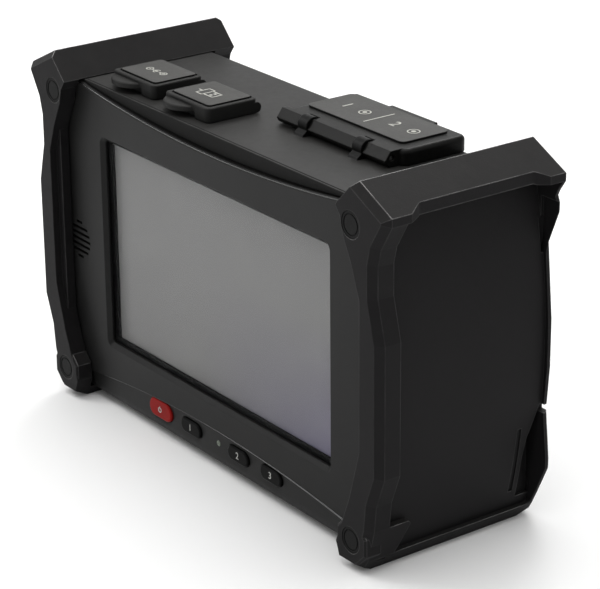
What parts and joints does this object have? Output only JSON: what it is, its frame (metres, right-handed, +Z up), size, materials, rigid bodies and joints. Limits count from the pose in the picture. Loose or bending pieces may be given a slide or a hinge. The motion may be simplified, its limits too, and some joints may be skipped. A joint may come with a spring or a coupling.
{
  "type": "optical time domain reflectometer",
  "caption": "Handheld optical time domain reflectometer: rugged end bumpers, screen housing with press keys, hinged fibre port lid and hinged port covers.",
  "frame": {"origin": "on the bench plane, under the middle of the two end bumpers", "axes": "+X to the right of the screen, -Y is the way the screen faces, +Z up towards the port covers"},
  "size_m": [0.216, 0.076, 0.137],
  "materials": {
    "housing_plastic": "fine grained, soft sheen",
    "bumper_rubber": "fine sanded matte",
    "plug_rubber": "matte",
    "cover_rubber": "matte",
    "label_film": "satin film",
    "seal_rubber": "matte",
    "screen_glass": "polished",
    "screen_panel": "smooth",
    "display_frame": "matte black",
    "red_key": "satin",
    "black_key": "satin",
    "light_guide": "clear",
    "steel": "blackened and plain steel",
    "nickel": "nickel plate",
    "aluminium": "as machined",
    "board": "solder resist",
    "dark_fittings": "moulded"
  },
  "bodies": {
    "instrument": {"rear_shell": "housing_plastic", "top_panel": "housing_plastic", "front_bezel": "housing_plastic", "left_bumper": "bumper_rubber", "right_bumper": "bumper_rubber", "bumper_screw_plugs": "plug_rubber", "port_cover_anchors": "cover_rubber", "housing_gasket": "seal_rubber", "touch_glass": "screen_glass", "display_panel": "screen_panel", "display_module": "display_frame", "status_light_pipe": "light_guide", "bumper_screws": "steel", "case_screws": "steel", "board_screws": "steel", "board_standoffs": "steel", "battery_door_screws": "steel", "adapter_screws": "steel", "fibre_lid_pin": "steel", "port_cover_pins": "steel", "otdr_port_adapter": "nickel", "fault_locator_adapter": "nickel", "usb_socket": "nickel", "service_socket": "nickel", "dc_jack_pin": "nickel", "chassis_plate": "aluminium", "optical_module": "aluminium", "fibre_port_plate": "aluminium", "battery_pack": "aluminium", "main_board": "board", "key_board": "board", "port_board": "board", "key_switches": "dark_fittings", "dc_jack": "dark_fittings", "battery_connector": "dark_fittings", "battery_door": "dark_fittings", "battery_tray": "dark_fittings", "fibre_port_well": "dark_fittings", "speaker": "dark_fittings"},
    "fibre_lid": {"fibre_lid": "housing_plastic", "fibre_lid_label": "label_film", "fibre_lid_seals": "seal_rubber"},
    "power_port_cover": {"power_port_cover": "cover_rubber", "power_port_cover_label": "label_film"},
    "usb_port_cover": {"usb_port_cover": "cover_rubber", "usb_port_cover_label": "label_film"},
    "power_key": {"power_key": "red_key"},
    "function_key_1": {"function_key_1": "black_key"},
    "function_key_2": {"function_key_2": "black_key"},
    "function_key_3": {"function_key_3": "black_key"}
  },
  "joints": [
    {"name": "fibre_lid_hinge", "type": "hinge", "parent": "instrument", "child": "fibre_lid", "pos_m": [0.035, -0.0015, 0.1302], "axis": [1, 0, 0], "range_deg": [0, 110]},
    {"name": "power_port_cover_hinge", "type": "hinge", "parent": "instrument", "child": "power_port_cover", "pos_m": [-0.0575, -0.00285, 0.1291], "axis": [-1, 0, 0], "range_deg": [0, 110]},
    {"name": "usb_port_cover_hinge", "type": "hinge", "parent": "instrument", "child": "usb_port_cover", "pos_m": [-0.0235, -0.00285, 0.1291], "axis": [-1, 0, 0], "range_deg": [0, 110]},
    {"name": "power_key_press", "type": "slide", "parent": "instrument", "child": "power_key", "axis": [0, 1, 0], "range_m": [0, 0.0008], "stiffness_N_per_m": 600, "springref_m": -0.0005},
    {"name": "function_key_1_press", "type": "slide", "parent": "instrument", "child": "function_key_1", "axis": [0, 1, 0], "range_m": [0, 0.0008], "stiffness_N_per_m": 600, "springref_m": -0.0005},
    {"name": "function_key_2_press", "type": "slide", "parent": "instrument", "child": "function_key_2", "axis": [0, 1, 0], "range_m": [0, 0.0008], "stiffness_N_per_m": 600, "springref_m": -0.0005},
    {"name": "function_key_3_press", "type": "slide", "parent": "instrument", "child": "function_key_3", "axis": [0, 1, 0], "range_m": [0, 0.0008], "stiffness_N_per_m": 600, "springref_m": -0.0005}
  ]
}
